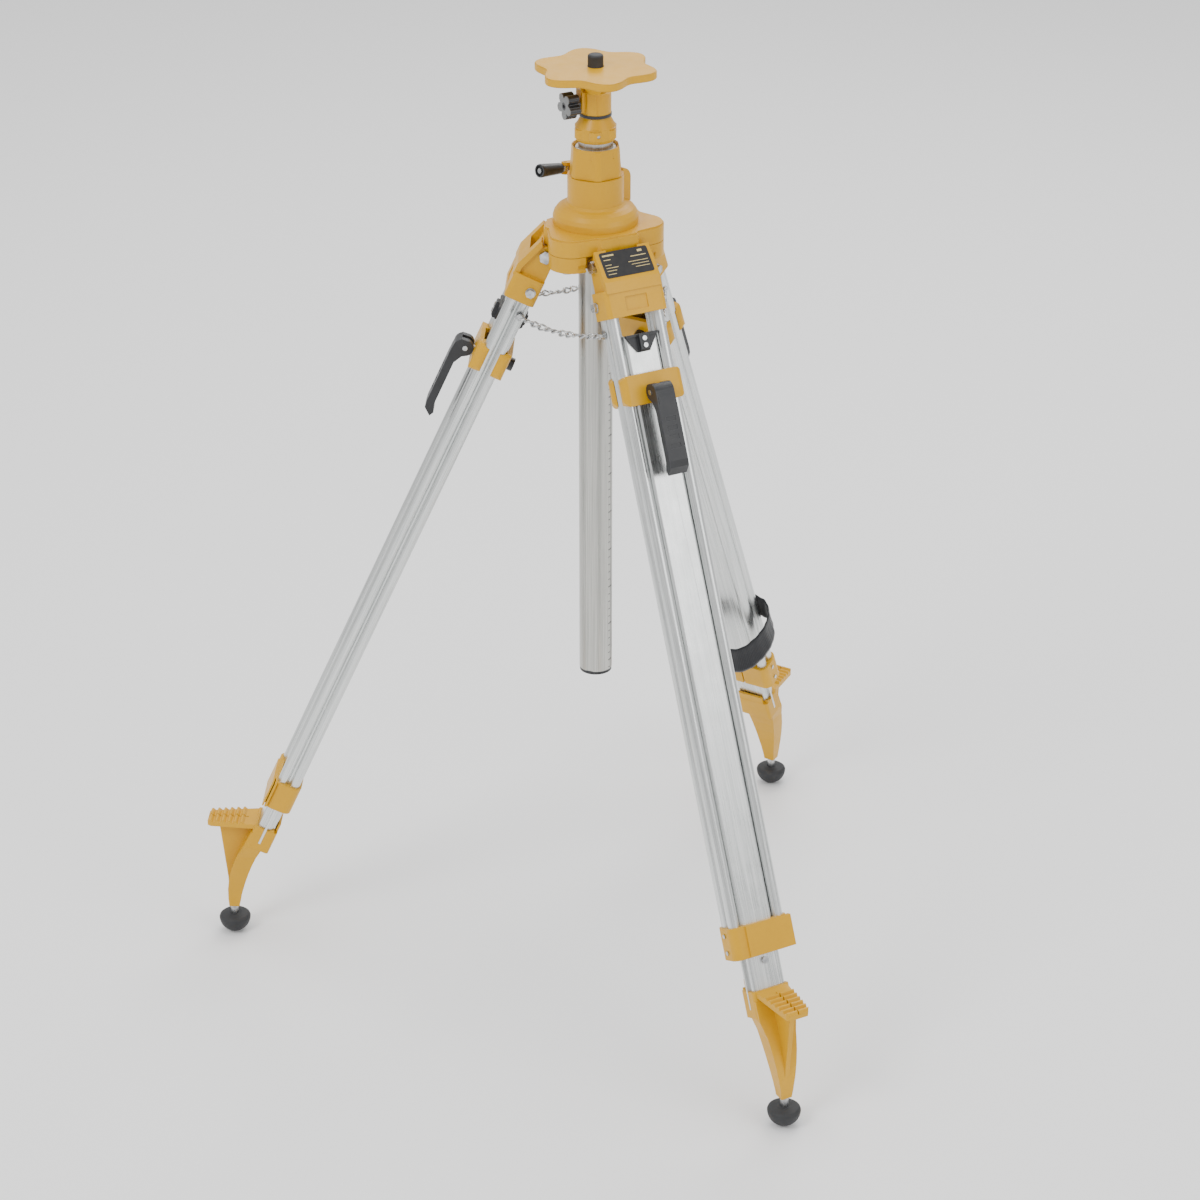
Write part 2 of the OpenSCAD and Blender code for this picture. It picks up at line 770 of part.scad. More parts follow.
module guide_blocks(az) {
    h = 21;
    base = 3.5;
    proud = 9;
    color(black) on_leg(az) translate([leg_x, 0, 0]) for (s = [-1, 1]) scale([s, 1, 1])
        translate([inner_t / 2, 0, -inner_top_s]) difference() {
            union() {
                rotate([90, 0, 90]) linear_extrude(base)
                    outline([[-21, 0], [21, 0], [20, -3], [7, -h], [-7, -h], [-20, -3]]);
                // Raised pad that carries the two screws
                rotate([90, 0, 0]) translate([0, 0, -6]) linear_extrude(12)
                    outline([[0, -0.4], [proud - 1, -0.4], [proud, -1.5], [proud, -h + 3], [proud - 2, -h + 0.4], [0, -h + 0.4]]);
                // Stiffening rib along the top edge
                translate([0, -20.4, -3]) cube([base + 1.6, 40.8, 2.6]);
            }
            for (z = [-6, -14]) translate([0, 0, z]) pin_x(1.5, -1, 12);
        }
}

// One clamp plate seen from above: a flat with two lobes hooked round the rails
module clamp_plan(thick) {
    reach = rail_span / 2 + 3.4;
    face = rail_x + 6.5;
    difference() {
        union() {
            translate([face - thick, -reach + 8]) square([thick, 2 * reach - 16]);
            for (y = [-1, 1]) {
                translate([face - 8, y * (reach - 8)]) circle(8);
                translate([face - 8, y * (reach - 15) - 7]) square([8, 14]);
                // Bearing pad against the rail's flank
                translate([inner_t / 2 + 0.1, y * (rail_y - lobe_r - 1.6) - 1.4]) square([face - inner_t / 2 - 1, 2.8]);
            }
        }
        for (y = [-1, 1]) {
            translate([lobe_gap, y * rail_y]) circle(lobe_r + 0.3);
            translate([-2, y * rail_y - lobe_r - 0.3]) square([2 + lobe_gap, 2 * lobe_r + 0.6]);
        }
    }
}

module clamp_plates(az) {
    reach = rail_span / 2 + 3.4;
    face = rail_x + 6.5;
    color(yellow) on_leg(az) translate([leg_x, 0, 0]) for (s = [-1, 1]) scale([s, 1, 1])
        difference() {
            union() {
                translate([0, 0, -clamp_s - clamp_h]) linear_extrude(clamp_h) clamp_plan(5);
                // Boss round the draw bolt
                translate([0, 0, -pivot_s]) pin_x(9, inner_t / 2, face - 2);
            }
            translate([0, 0, -pivot_s]) pin_x(4.05, 0, 40);
            // Round off the plate's four corners
            for (y = [-1, 1], e = [0, 1]) translate([0, y * (reach - 9), -clamp_s - clamp_h * e])
                scale([1, y, e == 0 ? 1 : -1]) difference() {
                    translate([-1, 0, -9]) cube([40, 20, 20]);
                    translate([0, 0, -9]) pin_x(9, -2, 40);
                }
        }
}

// Distance from the leg's centre plane to the clamp lever's pivot pin
pivot_x = 31;

module slide_fixings(az) {
    color(steel) {
        on_leg(az) translate([leg_x, 0, -pivot_s]) {
            // Draw bolt with an eye at its outer end, and the round nut behind
            pin_x(4, -28, pivot_x - 4);
            translate([pivot_x, 0, 0]) pin_y(7, -3.8, 3.8);
            pin_x(8, -30, -21);
            translate([pivot_x, 0, 0]) pin_y(3, -12.8, 12.8);
        }
        on_leg(az) translate([leg_x, 0, 0]) {
            // Guide block screws, and the stop rivet under the collar
            for (s = [-1, 1], z = [-6, -14]) scale([s, 1, 1])
                translate([0, 0, -inner_top_s + z]) {
                    pin_x(1.5, inner_t / 2, inner_t / 2 + 9.2);
                    pin_x(2.8, inner_t / 2 + 9, inner_t / 2 + 10.4);
                }
            translate([0, 0, -collar_s - collar_h - 8]) pin_x(4.2, inner_t / 2, inner_t / 2 + 3.4);
        }
        // Pin that joins the rubber foot to its casting
        on_foot(az) rod(5, 2, 43);
    }
}

// Clamp lever: a cam on the cross pin, and a channel-shaped handle
module clamp_lever(az) {
    half = 12;
    end = -97;
    color(black) on_leg(az) translate([leg_x + pivot_x, 0, -pivot_s]) difference() {
        union() {
            rotate([90, 0, 0]) translate([0, 0, -half]) linear_extrude(2 * half) {
                circle(9.7);
                translate([3.4, -1.2]) circle(10.6);
                outline([[2, 9], [8, 9], [13.2, 3], [14.6, -8], [14.6, end + 16], [13.6, end + 8], [4.4, end],
                         [1.4, end + 5.5], [5, end + 16], [5, -22], [-2, -8]]);
            }
        }
        // Flat where the cam bears on its plate
        translate([-20, -20, -20]) cube([20 - (pivot_x - rail_x - 6.5 - 0.3), 40, 40]);
        // Slot for the bolt's eye
        translate([-20, -4.2, -14]) cube([28, 8.4, 34]);
        pin_y(3.05, -20, 20);
        // Hollow back of the handle
        translate([-6, -half + 3, end + 20]) cube([16.5, 2 * half - 6, 60]);
        // Grip recesses on the outer face
        for (i = [0 : 3]) translate([14, -6.5, -36 - 10.5 * i]) cube([4, 13, 5.6]);
        // Relief between the cheeks and the head
        for (y = [-1, 1]) translate([14, y * 14 - 4, -16]) cube([4, 8, 40]);
    }
}

// Side view of the step: a flat plate with a row of saw teeth on top
module step_side(low, top, inner, outer, teeth) {
    pitch = 8;
    outline(concat([[inner, low], [outer, low], [outer, top]],
        [for (i = [0 : teeth - 1], p = [[0, 0], [1.6, 3.2], [3.4, 3.2], [6.4, 0]])
            [outer - 1 - pitch * i - p[0], top + p[1]]],
        [[inner, top]]));
}

foot_low = 18;
step_z = 150;
socket_w = 2 * (rail_y - lobe_r) + 5;

// Curved body: its side view met by its front view
module foot_body() {
    half = socket_w / 2;
    front = [[5.5, foot_low], [6, 30], [5.4, 46], [3, 62], [-1, 78], [-7, 94], [-15, 110], [-24, 126], [-30, 138]];
    back = [[-60, 142], [-58.5, 132], [-54, 124], [-48, 118], [-41, 110], [-34, 98], [-28, 85],
            [-22, 70], [-17, 55], [-12.6, 40], [-9, 26], [-7.5, foot_low]];
    taper = [[6.8, foot_low - 1], [9, 34], [12.5, 56], [16, 78], [19, 98], [half - 0.5, 116], [half - 0.3, 132],
             [half - 0.3, 160]];
    intersection() {
        rotate([90, 0, 0]) translate([0, 0, -30]) linear_extrude(60) outline(concat(front, back));
        rotate([90, 0, 90]) translate([0, 0, -90]) linear_extrude(120)
            outline(concat(taper, [for (i = [len(taper) - 1 : -1 : 0]) [-taper[i][0], taper[i][1]]]));
    }
}

// Step plate with its gusset
module foot_step() {
    intersection() {
        rotate([90, 0, 0]) translate([0, 0, -30]) linear_extrude(60)
            step_side(step_z - 8, step_z - 2, -38, 26, 6);
        linear_extrude(step_z + 10)
            outline([[-40, -21.5], [22, -15], [26, -12], [26, 12], [22, 15], [-40, 21.5]]);
    }
    rotate([90, 0, 0]) translate([0, 0, -3]) linear_extrude(6)
        outline([[13, step_z - 5], [5.2, 60], [5, 40], [-2, 40], [-20, 100], [-32, step_z - 5]]);
}

// Socket around the end of the inner leg, higher on the inner side
module foot_socket() {
    translate([-0.5, 0, 0]) {
        round_bar(inner_t + 8, socket_w, 4, -inner_end_s - 10, -socket_s);
        translate([-inner_t / 2 - 3.8, -socket_w / 2 + 6, -socket_s - 5]) cube([3, socket_w - 12, 17]);
    }
}

module foot_casting(az) {
    color(yellow) difference() {
        union() {
            on_foot(az) foot_body();
            on_foot(az) foot_step();
            on_leg(az) translate([leg_x, 0, 0]) foot_socket();
        }
        // Bore for the inner leg's end
        on_leg(az) translate([leg_x, 0, -inner_end_s]) linear_extrude(90) inner_outline();
        on_foot(az) {
            rod(5, foot_low - 10, 44);
            translate([-25, -0.8, step_z - 3]) cube([60, 1.6, 10]);
        }
    }
}

module rubber_foot(az) {
    skin = [for (a = [0 : 6 : 90]) foot_r * [sin(a), -cos(a)]];
    color(black) on_foot(az) rotate_extrude()
        outline(concat(skin, [[foot_r - 0.8, 2.2], [foot_r - 3, 4], [9, 6], [5, 6], [5, 2], [0, 2]]));
}

// ---------------------------------------------------------------- soft parts

function leg_point(az, x, y, s) = let (
    r = hinge_r + x * cos(splay) + s * sin(splay),
    z = -hinge_drop + x * sin(splay) - s * cos(splay))
    [r * cos(az) - y * sin(az), r * sin(az) + y * cos(az), z];

// A sagging run between two points: a parabola of the given drop
function sag_run(a, b, drop, n) = [for (i = [0 : n]) let (t = i / n)
    a + (b - a) * t - [0, 0, 4 * drop * t * (1 - t)]];

module bead_run(points, r) {
    n = len(points);
    sides = 8;
    // Each ring stands square to the run's direction in plan
    rings = [for (i = [0 : n - 1]) let (
        d = points[min(i + 1, n - 1)] - points[max(i - 1, 0)],
        u = d / norm(d),
        h = [-u[1], u[0], 0] / norm([u[0], u[1]]),
        v = cross(u, h))
        for (k = [0 : sides - 1]) points[i] + r * (cos(45 * k) * h + sin(45 * k) * v)];
    sides_faces = [for (i = [0 : n - 2], k = [0 : sides - 1])
        [(i + 1) * sides + k, (i + 1) * sides + (k + 1) % sides, i * sides + (k + 1) % sides, i * sides + k]];
    ends = [[for (k = [0 : sides - 1]) k], [for (k = [sides - 1 : -1 : 0]) (n - 1) * sides + k]];
    polyhedron(rings, concat(sides_faces, ends));
}

module chain_run(from, to) {
    x = leg_x - lobe_gap;
    y = rail_span / 2 + 3.5;
    end_s = chain_s + 6.4;
    bead_run(sag_run(leg_point(from, x, y, end_s), leg_point(to, x, -y, end_s), 8, 14), 2.1);
}

module leg_chains() {
    color(steel) {
        chain_run(left_az, front_az);
        chain_run(front_az, rear_az);
        chain_run(rear_az, left_az);
    }
}

// Closing strap: a slack loop of webbing hung round the rear leg's lower end
strap_w = 38;
strap_t = 2.4;
strap_s = 700;
strap_tilt = 20;

// Point of the loop's middle line, and its outward direction, at angle a
function strap_mid(a) = let (
    k = cos(a) > 0 ? 0.5 : 0.9,
    x = (cos(a) > 0 ? leg_x + rail_x + strap_t / 2 + 6 : 46) * sign(cos(a)) * pow(abs(cos(a)), k),
    y = 55 * sign(sin(a)) * pow(abs(sin(a)), k))
    [x - 4, y];

module closing_strap() {
    n = 60;
    step = 360 / n;
    corners = [for (i = [0 : n - 1]) let (
        m = strap_mid(i * step),
        d = strap_mid((i + 0.4) * step) - strap_mid((i - 0.4) * step),
        out = [d[1], -d[0]] / norm(d),
        z = -strap_s + strap_tilt * cos(i * step))
        for (c = [[-1, -1], [1, -1], [1, 1], [-1, 1]])
            [m[0] + c[0] * out[0] * strap_t / 2, m[1] + c[0] * out[1] * strap_t / 2, z + c[1] * strap_w / 2]];
    skin = [for (i = [0 : n - 1], k = [0 : 3]) let (
        a = i * 4 + k,
        b = i * 4 + (k + 1) % 4,
        c = ((i + 1) % n) * 4 + (k + 1) % 4,
        d = ((i + 1) % n) * 4 + k)
        each [[a, b, c], [a, c, d]]];
    color(black) on_leg(rear_az) polyhedron(corners, skin);
}

// ---------------------------------------------------------------- nodes

head_plate();
head_washer();
instrument_stud();
thread_cap();
star_knob();
star_screw();
column_head();
column_tube();
gear_rack();
column_pins();
column_end_plug();
column_lock_ring();
column_collet();
column_bush();
gear_housing();
crank_bushes();
pinion_shaft();
crank_arm();
grip_spindle();
crank_grip();
hub_upper_casting();
hub_lower_casting();
hub_bolts();
leg_chains();
closing_strap();
leg_head(left_az);  // leg_head_left
leg_rails(left_az);  // leg_rails_left
leg_collar(left_az);  // leg_collar_left
leg_bolts(left_az);  // leg_bolts_left
inner_leg(left_az);  // inner_leg_left
guide_blocks(left_az);  // guide_blocks_left
clamp_plates(left_az);  // clamp_plates_left
slide_fixings(left_az);  // slide_fixings_left
clamp_lever(left_az);  // clamp_lever_left
foot_casting(left_az);  // foot_casting_left
rubber_foot(left_az);  // rubber_foot_left
leg_head(front_az);  // leg_head_front
leg_rails(front_az);  // leg_rails_front
leg_collar(front_az);  // leg_collar_front
leg_bolts(front_az);  // leg_bolts_front
inner_leg(front_az);  // inner_leg_front
guide_blocks(front_az);  // guide_blocks_front
clamp_plates(front_az);  // clamp_plates_front
slide_fixings(front_az);  // slide_fixings_front
clamp_lever(front_az);  // clamp_lever_front
foot_casting(front_az);  // foot_casting_front
rubber_foot(front_az);  // rubber_foot_front
leg_head(rear_az);  // leg_head_rear
leg_rails(rear_az);  // leg_rails_rear
leg_collar(rear_az);  // leg_collar_rear
leg_bolts(rear_az);  // leg_bolts_rear
inner_leg(rear_az);  // inner_leg_rear
guide_blocks(rear_az);  // guide_blocks_rear
clamp_plates(rear_az);  // clamp_plates_rear
slide_fixings(rear_az);  // slide_fixings_rear
clamp_lever(rear_az);  // clamp_lever_rear
foot_casting(rear_az);  // foot_casting_rear
rubber_foot(rear_az);  // rubber_foot_rear
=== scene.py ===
"""Looks of the elevating surveyor tripod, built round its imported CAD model."""

import math

import bmesh
import bpy
from mathutils import Matrix, Vector


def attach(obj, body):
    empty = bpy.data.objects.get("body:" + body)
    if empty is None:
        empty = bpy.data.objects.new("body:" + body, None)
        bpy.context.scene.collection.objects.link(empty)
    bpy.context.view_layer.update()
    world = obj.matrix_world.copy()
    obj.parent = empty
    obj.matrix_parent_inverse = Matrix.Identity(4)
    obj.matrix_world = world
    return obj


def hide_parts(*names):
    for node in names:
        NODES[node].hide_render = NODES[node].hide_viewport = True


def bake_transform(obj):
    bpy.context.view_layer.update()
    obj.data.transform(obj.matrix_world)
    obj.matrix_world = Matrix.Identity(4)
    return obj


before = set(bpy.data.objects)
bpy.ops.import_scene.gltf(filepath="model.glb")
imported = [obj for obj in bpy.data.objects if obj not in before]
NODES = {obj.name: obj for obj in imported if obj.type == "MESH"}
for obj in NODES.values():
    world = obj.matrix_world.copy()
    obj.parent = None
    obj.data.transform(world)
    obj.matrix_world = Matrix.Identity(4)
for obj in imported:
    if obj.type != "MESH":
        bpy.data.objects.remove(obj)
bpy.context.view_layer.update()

# ------------------------------------------------------------------ frame
SEAT_H = 1.156
SPLAY = math.radians(24.5)
HINGE_R, HINGE_Z = 0.056, -0.217
LEG_X = 0.0063
LEGS = {"left": 180, "front": 300, "rear": 60}
SCALE_AZ, KNOB_AZ = math.radians(329), math.radians(211)
FOLD_AT, GRIP_DIR = (-0.036917, 0.038037, -0.133825), (-0.700225, -0.700225, 0.139173)
GRIP_END = 0.0465


def leg_matrix(az):
    """Leg frame to row frame: +X the leg's outer face, +Y along the hinge, -Z down the leg."""
    return (Matrix.Rotation(math.radians(az), 4, "Z") @ Matrix.Translation((HINGE_R, 0, HINGE_Z))
            @ Matrix.Rotation(-SPLAY, 4, "Y"))


LEG_M = {leg: leg_matrix(az) for leg, az in LEGS.items()}


# ------------------------------------------------------------------ shader helpers
def srgb(r, g, b):
    def lin(c):
        c /= 255.0
        return c / 12.92 if c <= 0.04045 else ((c + 0.055) / 1.055) ** 2.4
    return (lin(r), lin(g), lin(b), 1.0)


class Mat:
    """A small wrapper that adds shader nodes to one material."""

    def __init__(self, name, roughness=0.5, metallic=0.0, coat=0.0, coat_rough=0.1, specular=0.5,
                 base=(0.5, 0.5, 0.5, 1)):
        self.mat = bpy.data.materials.new(name)
        self.mat.use_nodes = True
        self.t = self.mat.node_tree
        self.n = self.t.nodes
        self.bsdf = next(x for x in self.n if x.type == "BSDF_PRINCIPLED")
        self.bsdf.inputs["Roughness"].default_value = roughness
        self.bsdf.inputs["Metallic"].default_value = metallic
        self.bsdf.inputs["Coat Weight"].default_value = coat
        self.bsdf.inputs["Coat Roughness"].default_value = coat_rough
        self.bsdf.inputs["Specular IOR Level"].default_value = specular
        self.bsdf.inputs["Base Color"].default_value = base
        self.mat.diffuse_color = base
        self._coord = None

    def add(self, kind, **values):
        node = self.n.new(kind)
        for key, value in values.items():
            setattr(node, key, value)
        return node

    def link(self, a, b):
        self.t.links.new(a, b)

    def coords(self):
        if self._coord is None:
            self._coord = self.add("ShaderNodeTexCoord").outputs["Object"]
        return self._coord

    def mapped(self, matrix, scale):
        """Object coordinates, first brought into another frame, then scaled."""
        inv = matrix.inverted()
        node = self.add("ShaderNodeMapping", vector_type="POINT")
        node.inputs["Location"].default_value = inv.to_translation()
        node.inputs["Rotation"].default_value = inv.to_euler("XYZ")
        self.link(self.coords(), node.inputs["Vector"])
        stretch = self.add("ShaderNodeVectorMath", operation="MULTIPLY")
        self.link(node.outputs["Vector"], stretch.inputs[0])
        stretch.inputs[1].default_value = scale
        return stretch.outputs["Vector"]

    def noise(self, scale, detail=3.0, rough=0.55, vector=None):
        node = self.add("ShaderNodeTexNoise")
        node.inputs["Scale"].default_value = scale
        node.inputs["Detail"].default_value = detail
        node.inputs["Roughness"].default_value = rough
        self.link(vector or self.coords(), node.inputs["Vector"])
        return node.outputs["Fac"]

    def split(self, vector):
        node = self.add("ShaderNodeSeparateXYZ")
        self.link(vector, node.inputs[0])
        return node.outputs

    def math(self, op, a, b=None, c=None, clamp=False):
        node = self.add("ShaderNodeMath", operation=op, use_clamp=clamp)
        for i, v in enumerate((a, b, c)):
            if v is None:
                continue
            if isinstance(v, (int, float)):
                node.inputs[i].default_value = v
            else:
                self.link(v, node.inputs[i])
        return node.outputs[0]

    def ramp(self, value, low, high, to_low=0.0, to_high=1.0):
        node = self.add("ShaderNodeMapRange", clamp=True)
        node.inputs["From Min"].default_value = low
        node.inputs["From Max"].default_value = high
        node.inputs["To Min"].default_value = to_low
        node.inputs["To Max"].default_value = to_high
        self.link(value, node.inputs["Value"])
        return node.outputs["Result"]

    def mix(self, factor, a, b):
        node = self.add("ShaderNodeMix", data_type="RGBA")
        if isinstance(factor, (int, float)):
            node.inputs[0].default_value = factor
        else:
            self.link(factor, node.inputs[0])
        for i, v in ((6, a), (7, b)):
            if isinstance(v, tuple):
                node.inputs[i].default_value = v
            else:
                self.link(v, node.inputs[i])
        return node.outputs[2]

    def edges(self, radius):
        """About 1 on convex edges and 0 on flats, from the bevel node."""
        bev = self.add("ShaderNodeBevel", samples=4)
        bev.inputs["Radius"].default_value = radius
        geo = self.add("ShaderNodeNewGeometry")
        dot = self.add("ShaderNodeVectorMath", operation="DOT_PRODUCT")
        self.link(bev.outputs[0], dot.inputs[0])
        self.link(geo.outputs["Normal"], dot.inputs[1])
        return self.ramp(dot.outputs["Value"], 1.0, 0.88)

    def bump(self, height, strength=0.2, distance=0.0005, rounded=0.0):
        node = self.add("ShaderNodeBump")
        node.inputs["Strength"].default_value = strength
        node.inputs["Distance"].default_value = distance
        self.link(height, node.inputs["Height"])
        if rounded:
            bev = self.add("ShaderNodeBevel", samples=6)
            bev.inputs["Radius"].default_value = rounded
            self.link(bev.outputs[0], node.inputs["Normal"])
        self.link(node.outputs[0], self.bsdf.inputs["Normal"])

    def along(self, origin, direction):
        """Distance along a direction from a point, in the row frame."""
        sub = self.add("ShaderNodeVectorMath", operation="SUBTRACT")
        self.link(self.coords(), sub.inputs[0])
        sub.inputs[1].default_value = origin
        dot = self.add("ShaderNodeVectorMath", operation="DOT_PRODUCT")
        self.link(sub.outputs["Vector"], dot.inputs[0])
        dot.inputs[1].default_value = direction
        return dot.outputs["Value"]

    def off_axis(self, origin, direction):
        """Distance from a line through a point."""
        sub = self.add("ShaderNodeVectorMath", operation="SUBTRACT")
        self.link(self.coords(), sub.inputs[0])
        sub.inputs[1].default_value = origin
        cross = self.add("ShaderNodeVectorMath", operation="CROSS_PRODUCT")
        self.link(sub.outputs["Vector"], cross.inputs[0])
        cross.inputs[1].default_value = direction
        size = self.add("ShaderNodeVectorMath", operation="LENGTH")
        self.link(cross.outputs["Vector"], size.inputs[0])
        return size.outputs["Value"]

    def set(self, socket, value):
        if isinstance(value, (int, float, tuple)):
            self.bsdf.inputs[socket].default_value = value
        else:
            self.link(value, self.bsdf.inputs[socket])


def paint(obj, mat):
    """Gives every slot of an object one material."""
    m = mat.mat if isinstance(mat, Mat) else mat
    if not obj.material_slots:
        obj.data.materials.append(m)
    for slot in obj.material_slots:
        slot.link = "OBJECT"
        slot.material = m


# ------------------------------------------------------------------ materials
def cast_yellow():
    """Semi-gloss enamel on castings: faint orange peel, soft tone drift, convex edges lightened as a painted highlight,
    with darker worn specks along them.
    """
    m = Mat("cast_yellow", roughness=0.42, coat=0.12, coat_rough=0.2, base=(0.62, 0.32, 0.0, 1), specular=0.3)
    big = m.noise(9.0, 2.0)
    fine = m.noise(260.0, 2.0)
    peel = m.noise(900.0, 1.0)
    tone = m.mix(m.ramp(big, 0.3, 0.75), (0.57, 0.295, 0.0, 1), (0.65, 0.34, 0.0, 1))
    tone = m.mix(m.ramp(fine, 0.45, 0.75, 0.0, 0.25), tone, (0.52, 0.26, 0.0, 1))
    rim = m.edges(0.0011)
    worn = m.math("MULTIPLY", rim, m.ramp(m.noise(140.0, 3.0), 0.5, 0.66), clamp=True)
    # Convex edges turn a lighter yellow: a painted highlight.
    tone = m.mix(m.math("MULTIPLY", rim, 0.3), tone, (0.74, 0.44, 0.03, 1))
    tone = m.mix(m.math("MULTIPLY", worn, 0.3), tone, (0.42, 0.23, 0.015, 1))
    m.set("Base Color", tone)
    m.set("Roughness", m.ramp(m.noise(60.0, 3.0), 0.3, 0.75, 0.36, 0.5))
    m.bump(m.math("ADD", m.math("MULTIPLY", peel, 0.55), m.math("MULTIPLY", fine, 0.45)), 0.12, 0.00035, rounded=0.0009)
    return m


def alloy(name, matrix, light, dark, rough=0.3):
    """Natural anodised aluminium with fine lines along the given frame's Z."""
    m = Mat(name, roughness=rough, metallic=1.0, base=light)
    lines = m.noise(1.0, 4.0, 0.6, m.mapped(matrix, (1400.0, 1400.0, 9.0)))
    wide = m.noise(1.0, 2.0, 0.5, m.mapped(matrix, (160.0, 160.0, 2.0)))
    spots = m.noise(34.0, 3.0, 0.6)
    tone = m.mix(m.ramp(lines, 0.3, 0.7), dark, light)
    tone = m.mix(m.ramp(wide, 0.45, 0.75, 0.0, 0.35), tone, dark)
    m.set("Base Color", tone)
    m.set("Roughness", m.ramp(m.math("ADD", m.math("MULTIPLY", lines, 0.6), m.math("MULTIPLY", spots, 0.4)),
                              0.35, 0.65, rough - 0.06, rough + 0.1))
    m.bump(lines, 0.06, 0.0002, rounded=0.0005)
    return m


def plated_steel():
    m = Mat("plated_steel", roughness=0.28, metallic=1.0, base=srgb(190, 192, 194))
    a = m.noise(150.0, 4.0)
    b = m.noise(1300.0, 2.0)
    m.set("Base Color", m.mix(m.ramp(a, 0.35, 0.7), srgb(205, 206, 206), srgb(150, 152, 154)))
    m.set("Roughness", m.ramp(a, 0.3, 0.7, 0.18, 0.38))
    m.bump(b, 0.05, 0.0002, rounded=0.0003)
    return m


def black_plastic(name="black_plastic", rough=0.42, tone=(30, 31, 33)):
    m = Mat(name, roughness=rough, base=srgb(*tone), specular=0.5)
    grain = m.noise(1500.0, 2.0)
    cloud = m.noise(45.0, 3.0)
    rim = m.edges(0.0009)
    col = m.mix(m.ramp(cloud, 0.35, 0.7), srgb(*tone), srgb(tone[0] + 10, tone[1] + 10, tone[2] + 11))
    # Convex edges are mixed to light grey: a painted highlight.
    m.set("Base Color", m.mix(m.math("MULTIPLY", rim, 0.5), col, srgb(86, 88, 92)))
    m.set("Roughness", m.ramp(cloud, 0.3, 0.7, rough - 0.06, rough + 0.08))
    m.bump(grain, 0.22, 0.00025, rounded=0.0007)
    return m


def rubber():
    m = Mat("black_rubber", roughness=0.62, base=srgb(38, 39, 41), specular=0.4)
    grain = m.noise(700.0, 4.0)
    cloud = m.noise(30.0, 3.0)
    dust = m.noise(80.0, 5.0)
    col = m.mix(m.ramp(cloud, 0.3, 0.7), srgb(34, 35, 37), srgb(52, 53, 55))
    m.set("Base Color", m.mix(m.ramp(dust, 0.6, 0.8, 0.0, 0.4), col, srgb(84, 82, 78)))
    m.set("Roughness", m.ramp(cloud, 0.3, 0.7, 0.52, 0.7))
    m.bump(grain, 0.3, 0.0003, rounded=0.0006)
    return m


def nylon():
    m = Mat("white_nylon", roughness=0.45, base=srgb(226, 225, 218))
    m.set("Base Color", m.mix(m.ramp(m.noise(70.0), 0.3, 0.7), srgb(230, 229, 222), srgb(214, 212, 203)))
    m.bump(m.noise(900.0), 0.1, 0.0002, rounded=0.0004)
    return m


def bronze():
    m = Mat("sintered_bronze", roughness=0.42, metallic=1.0, base=srgb(176, 134, 82))
    pores = m.noise(1600.0, 3.0)
    m.set("Base Color", m.mix(m.ramp(pores, 0.4, 0.62), srgb(120, 88, 52), srgb(190, 146, 92)))
    m.bump(pores, 0.3, 0.0003)
    return m


def column_alloy():
    """Drawn tube with a printed tick scale down its front right side."""
    m = alloy("column_alloy", Matrix.Identity(4), srgb(206, 205, 200), srgb(160, 160, 155), 0.32)
    _, _, z = m.split(m.coords())
    side = m.along((0, 0, 0), (math.cos(SCALE_AZ), math.sin(SCALE_AZ), 0))
    across = m.along((0, 0, 0), (-math.sin(SCALE_AZ), math.cos(SCALE_AZ), 0))
    fine = m.math("COMPARE", m.math("PINGPONG", z, 0.005), 0.0, 0.00055)
    long = m.math("COMPARE", m.math("PINGPONG", z, 0.025), 0.0, 0.00075)
    reach = m.math("ADD", 0.0022, m.math("MULTIPLY", long, 0.0032))
    near = m.math("LESS_THAN", across, reach)
    start = m.math("GREATER_THAN", across, -0.0024)
    front = m.math("GREATER_THAN", side, 0.0)
    below = m.math("LESS_THAN", z, -0.13)
    mark = m.math("MULTIPLY", m.math("MAXIMUM", fine, long), m.math("MULTIPLY", near, start))
    mark = m.math("MULTIPLY", mark, m.math("MULTIPLY", front, below))
    old = m.bsdf.inputs["Base Color"].links[0].from_socket
    m.set("Base Color", m.mix(mark, old, srgb(38, 40, 42)))
    m.set("Metallic", m.math("SUBTRACT", 1.0, m.math("MULTIPLY", mark, 0.9)))
    return m


def star_plastic():
    """Black moulded knob whose flat outer face is painted light grey round its screw hole, as a painted reflection."""
    m = black_plastic("star_plastic", 0.3, (34, 35, 37))
    out = (math.cos(KNOB_AZ), math.sin(KNOB_AZ), 0.0)
    centre = (0.0, 0.0, -0.041)
    face = m.ramp(m.along(centre, out), 0.0402, 0.0406)
    hole = m.ramp(m.off_axis(centre, out), 0.0044, 0.0046)
    old = m.bsdf.inputs["Base Color"].links[0].from_socket
    # The light grey on the outer face is a painted reflection on the black plastic.
    m.set("Base Color", m.mix(m.math("MULTIPLY", face, hole), old, srgb(112, 114, 114)))
    return m


def grip_plastic():
    """Black crank grip with a painted highlight: a light rim at its open end."""
    m = black_plastic("grip_plastic", 0.36, (30, 31, 33))
    length = m.along(FOLD_AT, GRIP_DIR)
    rim = m.math("MULTIPLY", m.ramp(length, GRIP_END - 0.0013, GRIP_END - 0.0009),
                 m.ramp(m.off_axis(FOLD_AT, GRIP_DIR), 0.0030, 0.0033))
    old = m.bsdf.inputs["Base Color"].links[0].from_socket
    # The light rim at the open end is a painted highlight.
    m.set("Base Color", m.mix(rim, old, srgb(196, 197, 194)))
    return m


